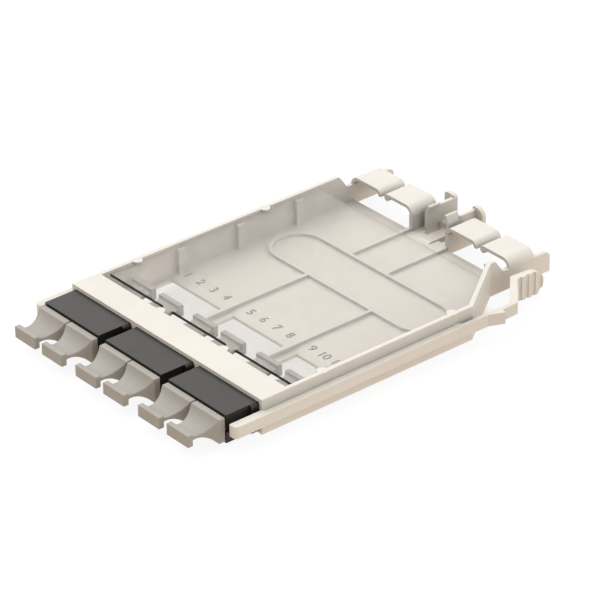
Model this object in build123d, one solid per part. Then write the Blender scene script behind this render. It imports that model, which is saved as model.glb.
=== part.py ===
from build123d import *
import os

# Patch cassette for twelve LC ports, in millimetres.
# X runs across the ports, Y from the port side (0, the tray's front edge) to the cable side, Z up.

# Tray walls and floor
wall_height = 11.5
wall = 1.4
front_floor = 1.0
rear_floor = 1.5
ramp_depth = 3.2
side_end = 81.1
jog_depth = 21.3
jog_width = 15.2
horn_length = 1.9
horn_slope = 3.3
notch_round = 1.4
tail_height = 6.9
tail_end = 127.2
floor_end = 110.3
bar_depth = 9.9
bar_thick = 1.2
cheek_end = 22.0
cheek_thick = 0.35

# Ports: each adapter holds two duplex pairs
post_width = 2.89
side_play = 0.52
duplex_pitch = 13.1
port_pitch = 6.25
adapter_margin = 0.16
adapter_front = 11.6
adapter_rear = 8.9
flange_depth = 3.0
flange_width = 27.6
flange_round = 1.1
port_size = 4.9
port_floor = 1.1
key_width = 3.0
key_height = 1.7
web = 1.0
holder_radius = 1.5
holder_reach = 3.9
sleeve_radius = 0.8
sleeve_bore = 0.625
sleeve_length = 7.6
sleeve_slit = 0.3
sleeve_play = 0.05
small_sides = 16
side_notch_depth = 1.3
side_notch_low = 3.5
side_notch_height = 2.6

# Dust plugs, measured outwards from the adapter's face
plug_gap = 0.3
block_width = 12.7
block_depth = 2.1
block_low = 1.6
block_top = 9.55
tip_start = 10.75
tip_end = 12.5
tip_width = 9.88
tip_low = 3.74
tip_top = 7.55
scoop_low = 6.6
scoop_radius = 6.82
arch_top = 5.1
arch_radius = 8.95
waist_width = 8.76
waist_radius = 11.4
peg_play = 0.25
peg_length = 5.8
peg_bore = 2.8

# Windows in the floor, behind the adapters
window_width = 23.4
window_start = 13.0
window_end = 35.4

# Ribs on the floor
rib_width = 1.1
rib_height = 1.0
stadium_front = 66.9
stadium_rear = 85.7
stadium_left_margin = 3.95
stadium_right_margin = 6.95

# Lid and what holds it
lid_thick = 1.0
lid_drop = 0.7
lid_play = 0.25
lid_front = 13.1
lid_rear = 95.9
tongue_width = 2.6
tongue_root = 1.5
tongue_round = 0.5
tab_radius = 1.65
tab_play = 0.05
tab_places = (23.6, 73.9)
pilaster_places = (39.9, 63.4, 87.0)
pilaster_width = 2.8
pilaster_depth = 1.5

# Guide rails and latch arm
rail_width = 2.8
rail_low = 4.35
rail_top = 8.3
rail_nose = 12.0
rail_edge = 0.15
rail_groove_offset = 0.35
rail_groove_width = 0.35
rail_groove_depth = 0.3
left_rail_end = 100.0
latch_root = 74.0
latch_gap = 0.05
socket_reach = 0.45
arm_thick = 1.35
catch_start = 84.8
catch_end = 89.8
catch_reach = 2.2
outer_turn = 96.6
inner_turn = 94.3
pad_start = 105.5
pad_length = 10.9
pad_set_in = 12.65
pad_thick = 2.7
pad_inner_flare = 1.0
pad_outer_flare = 0.5
neck_thick = 2.1
pad_low = 0.2
pad_top = 8.3
pad_top_round = 4.2
pad_low_round = 3.6
groove_count = 4
groove_start = 107.2
groove_pitch = 2.7
groove_radius = 0.75
groove_depth = 0.45

# Cable hooks and adapter bay at the rear
hook_end = 120.6
hook_corner = 1.0
hook_top = 9.7
hook_thick = 1.1
hook_bend = 3.2
hook_curl = 2.2
long_hook = 14.2
short_hook = 12.0
bead_radius = 1.2
bead_drop = 1.25
bay_half = 8.28
bay_wall = 1.4
clip_offset = 5.55
clip_thick = 1.2
clip_start = 113.65
clip_step = 118.4
clip_top = 10.6
clip_straight = 7.7
clip_lean = 1.2
clip_rear_top = 9.2
clip_rise = 0.7
slot_width = 2.2
slot_start = 112.3
slot_end = 119.0
bridge_top = 3.3
bridge_end = 125.0
plate_thick = 1.5
plate_width = 4.5
plate_top = 10.1

# Worked out from the sizes above
adapter_width = duplex_pitch + block_width + adapter_margin
adapter_pitch = adapter_width + post_width + 2 * lid_play
half = adapter_pitch + adapter_width / 2 + side_play + wall
inner = half - wall
hook_start = floor_end
stadium_left = stadium_left_margin - inner
stadium_right = inner - stadium_right_margin
jog_end = side_end + jog_depth
rear_right = half - jog_width
rear_middle = (rear_right - half) / 2
bar_low = wall_height - bar_thick
adapter_low = front_floor
lid_top = wall_height - lid_drop
lid_low = lid_top - lid_thick
rail_outer = half + rail_width
hinge_place = rail_outer - rail_width / 2
pad_inner = rail_outer - pad_set_in
pad_outer = pad_inner + pad_thick
pad_rear_inner = pad_inner + pad_inner_flare
pad_rear_outer = pad_outer + pad_outer_flare
port_low = adapter_low + port_floor
port_middle = port_low + port_size / 2
adapter_middle = (adapter_rear - adapter_front) / 2
adapter_places = [adapter_pitch * step for step in (-1, 0, 1)]
plug_places = [place + duplex_pitch * side for place in adapter_places for side in (-0.5, 0.5)]
port_places = [place + port_pitch * side for place in plug_places for side in (-0.5, 0.5)]
plan_middle = (catch_reach / 2, (tail_end - adapter_front - tip_end) / 2)


def slab(points, low, top, radii=None):
    """Upright prism over an outline of (x, y) points."""
    outline = FilletPolyline(*points, radius=radii, close=True) if radii else Polyline(*points, close=True)
    return Pos(0, 0, low) * extrude(make_face(outline), top - low)


def side_slab(points, left, right, radii=None):
    """Prism along X over an outline of (y, z) points."""
    outline = FilletPolyline(*points, radius=radii, close=True) if radii else Polyline(*points, close=True)
    return extrude(Plane.YZ.offset(left) * make_face(outline), right - left)


def block(left, right, front, rear, low, top):
    """Box between six planes."""
    middle = Pos((left + right) / 2, (front + rear) / 2, (low + top) / 2)
    return middle * Box(right - left, rear - front, top - low)


def strip(path, thick, front, rear):
    """Bent strip of even thickness along Y, on the right-hand side of an (x, z) path."""
    section = make_face(offset(path, thick, side=Side.RIGHT))
    return extrude(Plane.XZ.offset(-rear) * section, rear - front)


# Plan of the tray: straight on the left, stepped in on the right behind the side wall
def plan(inset, front, rear):
    slope = jog_width / jog_depth
    shift = inset * ((1 + slope**2) ** 0.5 - 1) / slope
    return [
        (-half + inset, front),
        (half - inset, front),
        (half - inset, side_end - shift),
        (rear_right - inset, jog_end - shift),
        (rear_right - inset, rear),
        (-half + inset, rear),
    ]


def floor_plate():
    plate = slab(plan(0, 0, floor_end), 0, rear_floor)
    ramp_end = window_end + ramp_depth
    step = [(-1, front_floor), (window_end, front_floor), (ramp_end, rear_floor), (-1, rear_floor)]
    lowered = side_slab(step, -inner, inner)
    plate -= lowered
    for place in adapter_places:
        left = place - window_width / 2
        plate -= block(left, left + window_width, window_start, window_end, -1, rear_floor + 1)
    return plate


# Side view of the walls that run to the rear: full height, a round horn, then the low tail
def wall_outline(start):
    horn = jog_end + horn_length
    return [
        (start, 0), (tail_end, 0), (tail_end, tail_height),
        (horn + horn_slope, tail_height), (horn, wall_height), (start, wall_height),
    ]


def side_walls():
    rounds = [0, 0, 2.0, notch_round, 1.4, 0]
    walls = side_slab(wall_outline(0), -half, -inner, rounds)
    walls += side_slab(wall_outline(jog_end - wall), rear_right - wall, rear_right, rounds)
    jog = plan(0, 0, jog_end)[1:4] + plan(wall, 0, jog_end)[3:0:-1]
    walls += slab(jog, 0, wall_height)
    for place in pilaster_places:
        for side in (-1, 1):
            if side > 0 and place > side_end:
                continue
            front = place - pilaster_width / 2
            walls += wall_pad(side, pilaster_depth, front, front + pilaster_width)
    for side in (-1, 1):
        walls += wall_pad(side, cheek_thick, bar_depth, cheek_end)
    return walls


# Flat thickening on the inside of a side wall that the lid rests on
def wall_pad(side, depth, front, rear):
    faces = sorted((side * inner, side * (inner - depth)))
    return block(*faces, front, rear, front_floor, lid_low)


def front_bar():
    bar = block(-inner, inner, 0, bar_depth, bar_low, wall_height)
    for side in (-1, 1):
        left = side * adapter_pitch / 2 - post_width / 2
        bar += block(left, left + post_width, 0, adapter_rear, front_floor, bar_low)
    return bar


def lid_tabs():
    low = lid_top + tab_play
    tabs = [(side * inner, place) for side in (-1, 1) for place in tab_places]
    tabs += [(side * adapter_pitch / 2, bar_depth) for side in (-1, 1)]
    return [Pos(x, y, low) * extrude(Circle(tab_radius), wall_height - low) for x, y in tabs]


def floor_ribs():
    top = rear_floor + rib_height
    width = stadium_rear - stadium_front
    middle = ((stadium_left + stadium_right) / 2, (stadium_front + stadium_rear) / 2)
    length = stadium_right - stadium_left
    ring = SlotOverall(length, width) - SlotOverall(length - 2 * rib_width, width - 2 * rib_width)
    ribs = Pos(*middle, front_floor) * extrude(ring, top - front_floor)
    for side in (-1, 1):
        left = side * adapter_pitch / 2 - rib_width / 2
        ribs += block(left, left + rib_width, adapter_rear, stadium_front + rib_width / 2, front_floor, top)
        left = rear_middle + side * bay_half - rib_width / 2
        ribs += block(left, left + rib_width, stadium_rear - rib_width / 2, floor_end + 0.5, front_floor, top)
    return ribs


# Guide rail: rounded nose in front of the tray, shallow groove where its top meets the wall
def guide_rail(end):
    outline = [
        (-half + 0.25, -rail_nose), (-half + 0.25, 0), (-half, 0),
        (-half, end), (-rail_outer, end), (-rail_outer, -rail_nose),
    ]
    rail = slab(outline, rail_low, rail_top, [0.5, 0, 0, 0, 0, 1.3])
    long_edges = rail.edges().filter_by(Axis.Y).group_by(Axis.X)[0]
    rail = chamfer(long_edges, rail_edge)
    near = -half - rail_groove_offset
    bottom = rail_top - rail_groove_depth
    return rail - block(near - rail_groove_width, near, 0, end + 1, bottom, rail_top + 1)


# The right-hand rail ends in a round socket for the root of the latch arm
def latch_rail():
    rail = mirror(guide_rail(latch_root - socket_reach), Plane.YZ)
    return rail - Pos(hinge_place, latch_root, 0) * extrude(Circle(rail_width / 2), wall_height)


def cable_hooks():
    walls = {side: rear_middle + side * bay_half for side in (-1, 1)}
    long_ends = [-half, walls[1] - bay_wall / 2]
    short_ends = [walls[-1] + bay_wall / 2, rear_right]
    hooks = []
    for start in long_ends:
        path = FilletPolyline(
            (start, tail_height - 2), (start, hook_top), (start + long_hook, hook_top),
            (start + long_hook, hook_top - hook_curl - 0.05), radius=[hook_bend, hook_curl],
        )
        hooks.append(strip(path, hook_thick, hook_start, hook_end))
    for start in short_ends:
        path = FilletPolyline(
            (start - short_hook, hook_top), (start, hook_top), (start, tail_height - 2), radius=[hook_bend],
        )
        bead = Rot(90, 0, 0) * extrude(Circle(bead_radius), hook_end - hook_start)
        bead = Pos(start - short_hook, hook_end, hook_top - bead_drop) * bead
        tip = start - short_hook - bead_radius
        corners = [(tip, hook_start), (start, hook_start), (start, hook_end), (tip, hook_end)]
        outline = slab(corners, 0, wall_height, [0, 0, 0, hook_corner])
        hooks.append((strip(path, hook_thick, hook_start, hook_end) + bead) & outline)
    return hooks


# Walls on both sides of the adapter bay carry the inner hooks
def bay_walls():
    lefts = [rear_middle + side * bay_half - bay_wall / 2 for side in (-1, 1)]
    return [block(left, left + bay_wall, hook_start, hook_end, 0, tail_height) for left in lefts]


# Clip arms that would hold a trunk adapter: leaning lip in front, release plate at the end
def bay_clip(side, plate_shift, outer_round, inner_round):
    outer = clip_offset
    inner_face = clip_offset - clip_thick
    lip = [
        (outer, 0), (outer, clip_straight), (outer - clip_lean, clip_top),
        (inner_face - clip_lean, clip_top), (inner_face, clip_straight), (inner_face, 0),
    ]
    section = make_face(FilletPolyline(*lip, radius=[0, 1.5, 0.5, 0.5, 1.5, 0], close=True))
    clip = extrude(Plane.XZ.offset(-clip_step) * section, clip_step - clip_start)
    clip += block(inner_face, outer, clip_step, bridge_end + 0.2, 0, clip_rear_top)
    curve = Rot(0, 90, 0) * extrude(Circle(clip_rise), plate_width)
    foot = bridge_end - clip_rise
    head = clip_rear_top + clip_rise
    rise = block(inner_face + clip_rise, outer, foot, bridge_end, clip_rear_top, head)
    clip += rise - Pos(inner_face, foot, head) * curve
    near = inner_face - 0.2 + plate_shift
    plate = [(near, 0), (near + plate_width, 0), (near + plate_width, plate_top), (near, plate_top)]
    section = make_face(FilletPolyline(*plate, radius=[0, 0, outer_round, inner_round], close=True))
    clip += extrude(Plane.XZ.offset(-bridge_end - plate_thick) * section, plate_thick)
    return Pos(rear_middle, 0, 0) * (clip if side > 0 else mirror(clip, Plane.YZ))


def adapter_bay():
    edge = bay_half - bay_wall / 2
    left = rear_middle - edge
    right = rear_middle + edge
    bay = block(left, right, floor_end - 1, hook_end, 0, rear_floor)
    inner_slot = clip_offset - clip_thick
    for side in (-1, 1):
        near = rear_middle + side * inner_slot
        far = rear_middle + side * (inner_slot - slot_width)
        bay -= block(min(near, far), max(near, far), slot_start, slot_end, -1, rear_floor + 1)
    tongue = inner_slot - slot_width
    rear = bridge_end + plate_thick
    bridge = [
        (floor_end - 3, rear_floor - 0.5), (rear, rear_floor - 0.5), (rear, bridge_top),
        (slot_end + 1, bridge_top), (slot_end - 0.4, rear_floor + 0.4), (floor_end - 1, rear_floor + 0.4),
    ]
    bay += side_slab(bridge, rear_middle - tongue, rear_middle + tongue, [0, 0, 0, 0.8, 0.8, 0])
    bay += block(rear_middle - inner_slot, rear_middle + inner_slot, slot_end, rear, 0, bridge_top)
    return bay


def tray_body():
    tray = floor_plate() + side_walls() + front_bar()
    tray += floor_ribs()
    tray += guide_rail(left_rail_end)
    tray += latch_rail()
    tray += lid_tabs()
    tray += adapter_bay()
    tray += bay_walls()
    tray += cable_hooks()
    tray += bay_clip(-1, 0.2, 1.2, 1.2)
    tray += bay_clip(1, 0, 3.0, 0.6)
    return tray


# Latch arm: free from its root behind the rail, catch wedge outwards, thumb pad set in behind the jog
def latch_arm():
    arm_inner = rail_outer - arm_thick
    arm = [
        (arm_inner, latch_root), (rail_outer - latch_gap, latch_root),
        (rail_outer, latch_root + 2), (rail_outer, catch_start),
        (rail_outer + catch_reach, catch_end), (rail_outer + 0.5, catch_end + 0.3),
        (rail_outer + 0.3, outer_turn), (pad_inner + neck_thick, pad_start + 1.0),
        (pad_inner, pad_start), (arm_inner + 0.3, inner_turn),
    ]
    solid = slab(arm, rail_low, rail_top, [0, 0, 0, 0, 0, 0, 0.6, 0.3, 0, 2.0])
    knuckle = extrude(Circle(rail_width / 2 - latch_gap), rail_top - rail_low)
    solid += Pos(hinge_place, latch_root, rail_low) * knuckle
    return solid + thumb_pad()


def thumb_pad():
    end = pad_start + pad_length
    side_view = [(pad_start, pad_low), (end, pad_low), (end, pad_top), (pad_start, pad_top)]
    blank = side_slab(side_view, pad_inner - 1, pad_rear_outer + 1, [0.4, pad_low_round, pad_top_round, 0.2])
    front = [(pad_inner, pad_start), (pad_outer, pad_start + 0.4)]
    top_view = front + [(pad_rear_outer, end), (pad_rear_inner, end)]
    pad = blank & slab(top_view, -1, wall_height)
    for number in range(groove_count):
        y = groove_start + number * groove_pitch
        face = pad_outer + (pad_rear_outer - pad_outer) * (y - pad_start) / pad_length
        groove = extrude(Circle(groove_radius), wall_height + 1)
        pad -= Pos(face + groove_radius - groove_depth, y, -1) * groove
    return pad


# Clear lid: two tongues reach the bar, the right edge follows the stepped wall
def clear_cover():
    edge = wall + lid_play
    corners = plan(edge, lid_front, lid_rear)
    outline = [corners[0]]
    rounds = [0]
    for side in (-1, 1):
        left = side * adapter_pitch / 2 - tongue_width / 2
        right = left + tongue_width
        tip = bar_depth + lid_play
        outline += [(left, lid_front), (left, tip), (right, tip), (right, lid_front)]
        rounds += [tongue_root, tongue_round, tongue_round, tongue_root]
    outline += [corners[1], corners[2], lid_corner(edge), (-half + edge, lid_rear)]
    return slab(outline, lid_low, lid_top, rounds + [0, 0, 0, 0])


def lid_corner(edge):
    start = plan(edge, 0, 0)[2]
    stop = plan(edge, 0, 0)[3]
    share = (lid_rear - start[1]) / (stop[1] - start[1])
    return (start[0] + share * (stop[0] - start[0]), lid_rear)


# Adapter half: a shell of four keyed ports in front of a web with half of each sleeve holder.
# Drawn with its outer face at y = 0 and the joint between the halves at y = depth.
def adapter_half(depth, flange_start):
    body = block(-adapter_width / 2, adapter_width / 2, 0, depth, adapter_low, bar_low)
    wide = flange_width / 2
    outline = [(-wide, adapter_low), (wide, adapter_low), (wide, bar_low), (-wide, bar_low)]
    section = make_face(FilletPolyline(*outline, radius=[0, 0, flange_round, flange_round], close=True))
    body += extrude(Plane.XZ.offset(-depth) * section, depth - flange_start)
    places = [duplex_pitch * pair + port_pitch * side for pair in (-0.5, 0.5) for side in (-0.5, 0.5)]
    for x in places:
        port = block(x - port_size / 2, x + port_size / 2, -1, depth - web, port_low, port_low + port_size)
        key_top = port_low + port_size + key_height
        key = block(x - key_width / 2, x + key_width / 2, -1, depth - web, port_middle, key_top)
        body -= port + key
    for x in places:
        holder = small_bar(holder_radius, holder_reach) - small_bar(sleeve_radius + sleeve_play, holder_reach)
        body -= Pos(x, depth, port_middle) * Rot(90, 0, 0) * small_bar(holder_radius, web)
        body += Pos(x, depth, port_middle) * Rot(90, 0, 0) * holder
    return body


# Small round bar along +Z, drawn with few flats because it is only a millimetre or two across
def small_bar(radius, length):
    return extrude(RegularPolygon(radius, small_sides), length)


def adapter_front_half(place):
    half_shell = adapter_half(adapter_middle + adapter_front, adapter_front - flange_depth)
    low = adapter_low + side_notch_low
    for side in (-1, 1):
        x = side * adapter_width / 2
        half_shell -= block(x - 0.7, x + 0.7, -1, side_notch_depth, low, low + side_notch_height)
    return Pos(place, -adapter_front, 0) * half_shell


def adapter_rear_half(place):
    half_shell = adapter_half(adapter_rear - adapter_middle, adapter_rear)
    return Pos(place, adapter_rear, 0) * Rot(0, 0, 180) * half_shell


# Split sleeve that lines up the two ferrules of a port
def split_sleeve(place):
    tube = small_bar(sleeve_radius, sleeve_length) - small_bar(sleeve_bore, sleeve_length)
    tube -= block(-sleeve_slit / 2, sleeve_slit / 2, 0, 2, -1, sleeve_length + 1)
    return Pos(place, adapter_middle + sleeve_length / 2, port_middle) * Rot(90, 0, 0) * tube


# Dust plug, drawn outwards along -Y from the adapter's face at y = 0
def dust_plug():
    back = plug_gap
    front = plug_gap + block_depth
    side = Line((back, block_top), (front, block_top))
    side += RadiusArc((front, block_top), (tip_start, scoop_low), -scoop_radius)
    side += Polyline((tip_start, scoop_low), (tip_start, tip_top), (tip_end, tip_top))
    side += Polyline((tip_end, tip_top), (tip_end, tip_low), (tip_start, tip_low), (tip_start, arch_top))
    side += RadiusArc((tip_start, arch_top), (front, block_low), -arch_radius)
    side += Polyline((front, block_low), (back, block_low), (back, block_top))
    handle = extrude(Plane.YZ.offset(-block_width / 2) * make_face(side), block_width)
    wide = block_width / 2
    waist = waist_width / 2
    tip = tip_width / 2
    top = Line((wide, back), (wide, front))
    top += RadiusArc((wide, front), (waist, tip_start), waist_radius)
    top += Polyline((waist, tip_start), (tip, tip_start), (tip, tip_end))
    top += Polyline((tip, tip_end), (0, tip_end), (0, back), (wide, back))
    half_plan = extrude(make_face(top), wall_height)
    handle = handle & (half_plan + mirror(half_plan, Plane.YZ))
    for place in (-port_pitch / 2, port_pitch / 2):
        handle += square_peg(place, port_size / 2 - peg_play, back)
    for place in (-port_pitch / 2, port_pitch / 2):
        handle -= square_peg(place, peg_bore / 2, 0)
    return handle


def square_peg(place, reach, end):
    return block(place - reach, place + reach, -peg_length, end, port_middle - reach, port_middle + reach)


def front_plug(place):
    return Pos(place, -adapter_front, 0) * Rot(0, 0, 180) * dust_plug()


def rear_plug(place):
    return Pos(place, adapter_rear, 0) * dust_plug()


def pieces():
    parts = {"tray_body": tray_body(), "latch_arm": latch_arm(), "clear_cover": clear_cover()}
    for number, place in enumerate(adapter_places, 1):
        parts[f"adapter_front_{number}"] = adapter_front_half(place)
        parts[f"adapter_rear_{number}"] = adapter_rear_half(place)
    for number, place in enumerate(port_places, 1):
        parts[f"sleeve_{number}"] = split_sleeve(place)
    for number, place in enumerate(plug_places, 1):
        parts[f"front_plug_{number}"] = front_plug(place)
        parts[f"rear_plug_{number}"] = rear_plug(place)
    return parts


# The origin is the middle of the plan, on the surface that the tray rests on
os.makedirs("parts", exist_ok=True)
for name, shape in pieces().items():
    export_step(Pos(-plan_middle[0], -plan_middle[1], 0) * shape, f"parts/{name}.step")
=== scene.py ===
import math

import bpy
from mathutils import Matrix, Vector


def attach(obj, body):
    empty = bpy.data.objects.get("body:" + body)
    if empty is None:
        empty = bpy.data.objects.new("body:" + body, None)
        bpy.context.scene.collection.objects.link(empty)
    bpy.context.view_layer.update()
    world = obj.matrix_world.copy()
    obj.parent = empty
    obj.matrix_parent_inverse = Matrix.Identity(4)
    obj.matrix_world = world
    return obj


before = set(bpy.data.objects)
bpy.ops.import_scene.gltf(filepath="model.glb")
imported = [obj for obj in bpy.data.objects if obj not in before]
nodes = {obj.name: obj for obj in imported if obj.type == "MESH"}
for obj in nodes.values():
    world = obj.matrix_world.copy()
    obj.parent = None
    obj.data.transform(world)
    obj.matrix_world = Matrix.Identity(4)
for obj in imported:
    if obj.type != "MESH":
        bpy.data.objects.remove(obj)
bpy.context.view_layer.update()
mm = 0.001
print("frame loaded with", len(nodes), "nodes")


# Shader maths as plain expressions: a value is one output socket of a node tree
class Value:
    def __init__(self, maker, socket):
        self.maker = maker
        self.socket = socket

    def __add__(self, other):
        return self.maker.maths("ADD", self, other)

    def __sub__(self, other):
        return self.maker.maths("SUBTRACT", self, other)

    def __rsub__(self, other):
        return self.maker.maths("SUBTRACT", other, self)

    def __mul__(self, other):
        return self.maker.maths("MULTIPLY", self, other)

    __radd__ = __add__
    __rmul__ = __mul__


# Fills one emptied node tree, a material's or the world's
class Maker:
    def __init__(self, tree):
        self.tree = tree
        self.tree.nodes.clear()

    # adds a node: its settings first, then the values or links of its sockets
    def node(self, kind, settings=None, sockets=None, output=0):
        made = self.tree.nodes.new(kind)
        for name, setting in (settings or {}).items():
            if name == "stops":
                for element, (place, shade) in zip(made.color_ramp.elements, setting):
                    element.position = place
                    element.color = (shade, shade, shade, 1)
            else:
                setattr(made, name, setting)
        for name, given in (sockets or {}).items():
            if isinstance(given, Value):
                self.tree.links.new(given.socket, made.inputs[name])
            else:
                made.inputs[name].default_value = given
        return Value(self, made.outputs[output]) if made.outputs else None

    def maths(self, operation, first, second):
        return self.node("ShaderNodeMath", {"operation": operation}, {0: first, 1: second})

    def place(self):
        return self.node("ShaderNodeTexCoord", output="Object")

    def geometry(self, output):
        return self.node("ShaderNodeNewGeometry", output=output)

    def along(self, vector, axis):
        return self.node("ShaderNodeSeparateXYZ", sockets={"Vector": vector}, output=axis)

    def ray(self, kind):
        return self.node("ShaderNodeLightPath", output=f"Is {kind} Ray")

    # what the camera sees, straight, mirrored or through the clear lid
    def seen(self):
        return self.maths("MINIMUM", self.ray("Camera") + self.ray("Glossy") + self.ray("Transmission"), 1.0)

    def noise(self, place, size, detail, roughness=0.5):
        sockets = {"Vector": place, "Scale": 1 / size, "Detail": detail, "Roughness": roughness}
        return self.node("ShaderNodeTexNoise", {}, sockets)

    # 0 below the band, 1 above it and a slope between
    def rise(self, value, band):
        return self.node("ShaderNodeValToRGB", {"stops": zip(band, (0.0, 1.0))}, {"Fac": value})

    # colours: the first may be a value, the second is a plain one
    def mix(self, factor, first, second):
        first = (*first, 1) if isinstance(first, tuple) else first
        return self.node("ShaderNodeMix", {"data_type": "RGBA"}, {0: factor, 6: first, 7: (*second, 1)}, 2)

    def bump(self, height, strength, distance, **under):
        sockets = {"Height": height, "Strength": strength, "Distance": distance, **under}
        return self.node("ShaderNodeBump", {}, sockets)

    def mixShader(self, factor, first, second):
        return self.node("ShaderNodeMixShader", {}, {0: factor, 1: first, 2: second})


def newMaterial(name, paint, *looks):
    material = bpy.data.materials.new(name)
    material.use_nodes = True
    maker = Maker(material.node_tree)
    maker.node("ShaderNodeOutputMaterial", {}, {"Surface": paint(maker, *looks)})
    return material


# an 8-bit screen colour as the linear values that a shader takes
def colour(*screen):
    shares = [part / 255 for part in screen]
    return tuple(share / 12.92 if share <= 0.04045 else ((share + 0.055) / 1.055) ** 2.4 for share in shares)


# Moulded plastic: a faint cloudiness in the colour, a fine spark-eroded grain and a slow waviness.
# It sends little light on to its neighbours (the echo), so that grooves and corners stay as dark as in
# the photograph
plasticLook = {
    "echo": 0.15, "cloudDetail": 3.0, "cloudBand": (0.35, 0.65), "grainDetail": 2.0, "grainRoughness": 0.6,
    "grainDepth": 0.02 * mm, "waveDetail": 1.0, "waveDepth": 0.05 * mm,
}
ivoryLook = {
    **plasticLook, "deep": colour(241, 235, 224), "pale": colour(246, 240, 229), "cloudSize": 18 * mm,
    "grainSize": 0.35 * mm, "grain": 0.25, "waveSize": 6 * mm, "wave": 0.12,
    "roughness": 0.46, "roughSpread": 0.12, "ior": 1.5,
}
adapterLook = {
    **plasticLook, "deep": colour(25, 22, 15), "pale": colour(31, 28, 20), "cloudSize": 9 * mm,
    "grainSize": 0.25 * mm, "grain": 0.45, "waveSize": 5 * mm, "wave": 0.1,
    "roughness": 0.42, "roughSpread": 0.15, "ior": 1.43,
}
plugLook = {
    **plasticLook, "deep": colour(176, 170, 161), "pale": colour(183, 177, 168), "cloudSize": 8 * mm,
    "grainSize": 0.3 * mm, "grain": 0.3, "waveSize": 4 * mm, "wave": 0.15,
    "roughness": 0.5, "roughSpread": 0.1, "ior": 1.48,
}
# The port numbers are coloured darker than the ivory floor around them
numberLook = {
    **plasticLook, "deep": colour(146, 142, 136), "pale": colour(153, 149, 143), "cloudSize": 4 * mm,
    "grainSize": 0.3 * mm, "grain": 0.2, "waveSize": 3 * mm, "wave": 0.1,
    "roughness": 0.55, "roughSpread": 0.1, "ior": 1.48,
}
ceramicLook = {
    **plasticLook, "deep": colour(236, 236, 234), "pale": colour(243, 243, 241), "cloudSize": 2 * mm,
    "grainSize": 0.1 * mm, "grain": 0.05, "waveSize": 1 * mm, "wave": 0.02,
    "roughness": 0.18, "roughSpread": 0.05, "ior": 1.9,
}


def mouldedPlastic(maker, look):
    place = maker.place()
    cloud = maker.noise(place, look["cloudSize"], look["cloudDetail"])
    grain = maker.noise(place, look["grainSize"], look["grainDetail"], look["grainRoughness"])
    wave = maker.noise(place, look["waveSize"], look["waveDetail"])
    base = maker.mix(maker.rise(cloud, look["cloudBand"]), look["deep"], look["pale"])
    echo = tuple(part * look["echo"] for part in look["deep"])
    grainBump = maker.bump(grain, look["grain"], look["grainDepth"])
    sockets = {
        "Base Color": maker.mix(maker.ray("Diffuse"), base, echo),
        "Roughness": look["roughness"] + (cloud - 0.5) * look["roughSpread"],
        "Normal": maker.bump(wave, look["wave"], look["waveDepth"], Normal=grainBump),
        "IOR": look["ior"],
    }
    return maker.node("ShaderNodeBsdfPrincipled", {}, sockets)


# Clear lid: a faintly smoked sheet with a trace of mottled haze; its front edge is painted dark, a painted
# reflection of the black adapters.
# The veil is how much of the sheet itself is seen, and "passing" is how much of the light goes straight
# through to what lies below
clearLook = {
    "smoke": (0.945, 0.935, 0.925), "haze": (0.595, 0.58, 0.555), "pale": (0.855, 0.84, 0.815),
    "mottleSize": 2.5 * mm, "mottleDetail": 5.0, "mottleRoughness": 0.62, "mottleBand": (0.4, 0.6),
    "edge": colour(50, 48, 45), "reflectionBand": (0.8, 0.95), "veil": 0.16, "sideVeil": 0.04, "edgeVeil": 0.78,
    "roughness": 0.2, "roughSpread": 0.08, "waveSize": 25 * mm, "waveDetail": 1.0, "ior": 1.5,
    "passing": 0.92,
}


def clearPlastic(maker, look):
    place = maker.place()
    normal = maker.geometry("Normal")
    outside = 1 - maker.geometry("Backfacing")
    upward = maker.along(normal, "Z")
    # mask of the painted reflection: faces that look forward, seen from outside
    front = maker.rise(0.5 - maker.along(normal, "Y") * 0.5, look["reflectionBand"]) * outside
    side = 1 - upward * upward
    wave = maker.noise(place, look["waveSize"], look["waveDetail"])
    cloud = maker.noise(place, look["mottleSize"], look["mottleDetail"], look["mottleRoughness"])
    mottled = maker.mix(maker.rise(cloud, look["mottleBand"]), look["haze"], look["pale"])
    sockets = {
        # painted reflection: faces that look forward take a dark colour standing for the mirrored black
        # adapters
        "Base Color": maker.mix(front, mottled, look["edge"]),
        "Roughness": look["roughness"] + (wave - 0.5) * look["roughSpread"],
        "IOR": look["ior"],
    }
    sheet = maker.node("ShaderNodeBsdfPrincipled", {}, sockets)
    smoke = maker.node("ShaderNodeBsdfTransparent", {}, {"Color": (*look["smoke"], 1)})
    veil = look["veil"] + side * look["sideVeil"] + front * look["edgeVeil"]
    passing = maker.maths("MAXIMUM", maker.ray("Shadow"), maker.ray("Diffuse")) * look["passing"]
    bare = maker.node("ShaderNodeBsdfTransparent")
    return maker.mixShader(passing, maker.mixShader(veil, smoke, sheet), bare)


ivory = newMaterial("ivoryPlastic", mouldedPlastic, ivoryLook)
adapterPlastic = newMaterial("adapterPlastic", mouldedPlastic, adapterLook)
plugPlastic = newMaterial("plugPlastic", mouldedPlastic, plugLook)
ceramic = newMaterial("ceramic", mouldedPlastic, ceramicLook)
numberPlastic = newMaterial("numberPlastic", mouldedPlastic, numberLook)
clearCover = newMaterial("clearCover", clearPlastic, clearLook)
print("finishes made")


# The modelled solids keep their mesh: they get a finish, and small moulded edge rounds as modifiers.
# A node that isn't named here in full goes by its first word
finishes = {
    "tray_body": ivory, "latch_arm": ivory, "clear_cover": clearCover,
    "adapter": adapterPlastic, "sleeve": ceramic, "front": plugPlastic, "rear": plugPlastic,
}
edgeRounds = {
    "tray_body": 0.16 * mm, "latch_arm": 0.2 * mm, "clear_cover": 0.08 * mm,
    "adapter": 0.14 * mm, "sleeve": 0.02 * mm, "front": 0.22 * mm, "rear": 0.22 * mm,
}
roundLook = {"join": 0.002 * mm, "segments": 2, "sharpFrom": 35}


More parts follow.
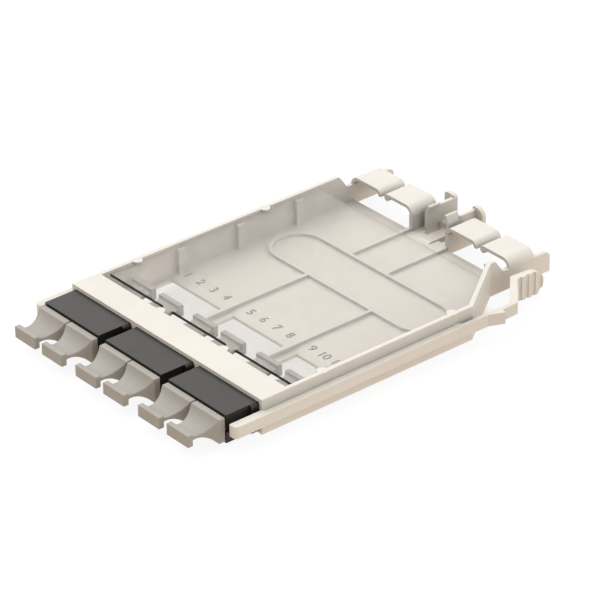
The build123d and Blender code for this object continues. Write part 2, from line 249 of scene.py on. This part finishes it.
def dressNode(name, node, look):
    kind = name if name in finishes else name.split("_")[0]
    node.data.materials.clear()
    node.data.materials.append(finishes[kind])
    weld = node.modifiers.new("joinCorners", "WELD")
    weld.merge_threshold = look["join"]
    bevel = node.modifiers.new("edgeRound", "BEVEL")
    bevel.width = edgeRounds[kind]
    bevel.segments = look["segments"]
    bevel.limit_method = "ANGLE"
    bevel.angle_limit = math.radians(look["sharpFrom"])
    bevel.use_clamp_overlap = True
    bevel.harden_normals = False


for name, node in nodes.items():
    dressNode(name, node, roundLook)
print("finishes on the modelled solids")


# Port numbers, standing a little proud of the tray floor. Places are in millimetres across from the tray's
# middle, the line is back from its front edge, and the shared origin lies at the middle of the plan
numbers = {
    "places": (-39.4, -33.3, -27.0, -20.85, -9.3, -3.3, 2.8, 8.9, 19.0, 24.45, 30.4, 36.6),
    "line": 38.9, "floor": 1.5, "planMiddle": (1.1, 51.55),
    "height": 3.1, "heightShare": 0.7, "raise": 0.12, "edgeRound": 0.02, "curveSteps": 4,
}


def portNumber(number, place, values):
    bpy.ops.object.select_all(action="DESELECT")
    bpy.ops.object.text_add()
    text = bpy.context.object
    text.data.body = str(number)
    text.data.align_x = "CENTER"
    text.data.size = values["height"] * mm / values["heightShare"]  # figures fill a share of the type size
    text.data.extrude = values["raise"] * mm / 2  # to either side
    text.data.bevel_depth = values["edgeRound"] * mm
    text.data.resolution_u = values["curveSteps"]
    bpy.ops.object.convert(target="MESH")
    text = bpy.context.object
    text.location = (
        (place - values["planMiddle"][0]) * mm,
        (values["line"] - values["planMiddle"][1]) * mm,
        (values["floor"] + values["raise"] / 2) * mm,
    )
    bpy.ops.object.transform_apply(location=True, rotation=True, scale=True)
    text.data.materials.clear()
    text.data.materials.append(numberPlastic)
    text.name = f"port_number_{number}"
    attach(text, "module")


for number, place in enumerate(numbers["places"], 1):
    portNumber(number, place, numbers)
print("port numbers on the floor")


# White floor, which keeps the shadow: seen, it is white, with a painted shadow right under the tray that
# makes it a little dimmer and warmer there;
# unseen, it sends a warm glow up the sides
floorLook = {
    "size": 4.0, "drop": 0.05 * mm, "seen": (0.17, 0.17, 0.17), "lift": 0.895, "glow": (0.65, 0.52, 0.42),
}
# painted shadow: a patch of paper right under the tray, tinted dimmer and warmer, fading out at its rim
paintedShadowUnderTray = {
    "centre": (-1.1 * mm, 5.5 * mm), "half": (40 * mm, 42 * mm), "fade": (0.9, 1.0),
    "paintedShadowTint": (0.838, 0.816, 0.78),
}


def palePaper(maker, look, under):
    seen = maker.seen()
    place = maker.place()
    away = [
        maker.maths("ABSOLUTE", maker.along(place, axis) - middle, 0.0) * (1 / reach)
        for axis, middle, reach in zip("XY", under["centre"], under["half"])
    ]
    # painted shadow: inside the patch under the tray the paper takes the dim tint, outside it stays white
    outside = maker.rise(maker.maths("MAXIMUM", *away), under["fade"])
    shade = maker.mix(outside, under["paintedShadowTint"], (1, 1, 1))
    diffuse = maker.node("ShaderNodeBsdfDiffuse", {}, {"Color": (*look["seen"], 1)})
    lift = maker.node("ShaderNodeEmission", {}, {"Color": shade, "Strength": look["lift"]})
    white = maker.node("ShaderNodeAddShader", {}, {0: diffuse, 1: lift})
    warm = maker.node("ShaderNodeEmission", {}, {"Color": (*look["glow"], 1)})
    return maker.mixShader(seen, warm, white)


def paleFloor(look, under):
    bpy.ops.object.select_all(action="DESELECT")
    bpy.ops.mesh.primitive_plane_add(size=look["size"], location=(0, 0, -look["drop"]))
    floor = bpy.context.object
    floor.name = "floor"
    bpy.ops.object.transform_apply(location=True, rotation=True, scale=True)
    floor.data.materials.append(newMaterial("paleFloor", palePaper, look, under))


paleFloor(floorLook, paintedShadowUnderTray)


# Soft studio light: a faint even sky, seen as white, and wide soft lamps, the strong ones high on the left
# and to the right. "light" is a lamp's strength by colour, and "soft" is how wide it looks, in degrees
skyLook = (0.06, 0.06, 0.06)
lampLooks = {
    "left": {"aim": (0.8, 0, -0.6), "light": (0.2, 0.2, 0.2), "soft": 50},
    "leftHigh": {"aim": (0.58, 0, -0.81), "light": (1.95, 1.95, 1.95), "soft": 80},
    "right": {"aim": (-0.8, -0.5, -0.33), "light": (1.99, 1.99, 1.99), "soft": 110},
    "front": {"aim": (0, 0.95, -0.3), "light": (0.76, 0.72, 0.69), "soft": 80},
}


def studioSky(sky):
    world = bpy.data.worlds.new("studio")
    bpy.context.scene.world = world
    world.use_nodes = True
    maker = Maker(world.node_tree)
    background = maker.node("ShaderNodeBackground", {}, {"Color": maker.mix(maker.seen(), sky, (1, 1, 1))})
    maker.node("ShaderNodeOutputWorld", {}, {"Surface": background})


def studioLamp(name, look):
    level = max(look["light"])
    lamp = bpy.data.lights.new(name, "SUN")
    lamp.color = [part / level for part in look["light"]]
    lamp.energy = level
    lamp.angle = math.radians(look["soft"])
    holder = bpy.data.objects.new(name, lamp)
    bpy.context.collection.objects.link(holder)
    holder.rotation_euler = Vector(look["aim"]).to_track_quat("-Z", "Y").to_euler()


studioSky(skyLook)
for name, look in lampLooks.items():
    studioLamp(name, look)
print("floor and light")


# Long-lens camera above the right-hand front corner: place, lens and sensor in millimetres, turns in degrees
cameraPlace = {
    "place": (728.366, -613.29, 554.268), "azimuth": 49.94, "elevation": 29.933, "roll": -0.491,
    "lens": 220.34, "sensor": 36, "farEnd": 10,
}


def placeCamera(values):
    data = bpy.data.cameras.new("camera")
    camera = bpy.data.objects.new("camera", data)
    bpy.context.collection.objects.link(camera)
    data.lens = values["lens"]
    data.sensor_width = values["sensor"]
    data.clip_end = values["farEnd"]  # metres
    turn = (
        Matrix.Rotation(math.radians(values["azimuth"]), 4, "Z")
        @ Matrix.Rotation(math.radians(90 - values["elevation"]), 4, "X")
        @ Matrix.Rotation(math.radians(values["roll"]), 4, "Z")
    )
    camera.matrix_world = Matrix.Translation(Vector(values["place"]) * mm) @ turn
    bpy.context.scene.camera = camera
    bpy.context.scene.view_settings.view_transform = "Standard"


placeCamera(cameraPlace)
print("camera placed")
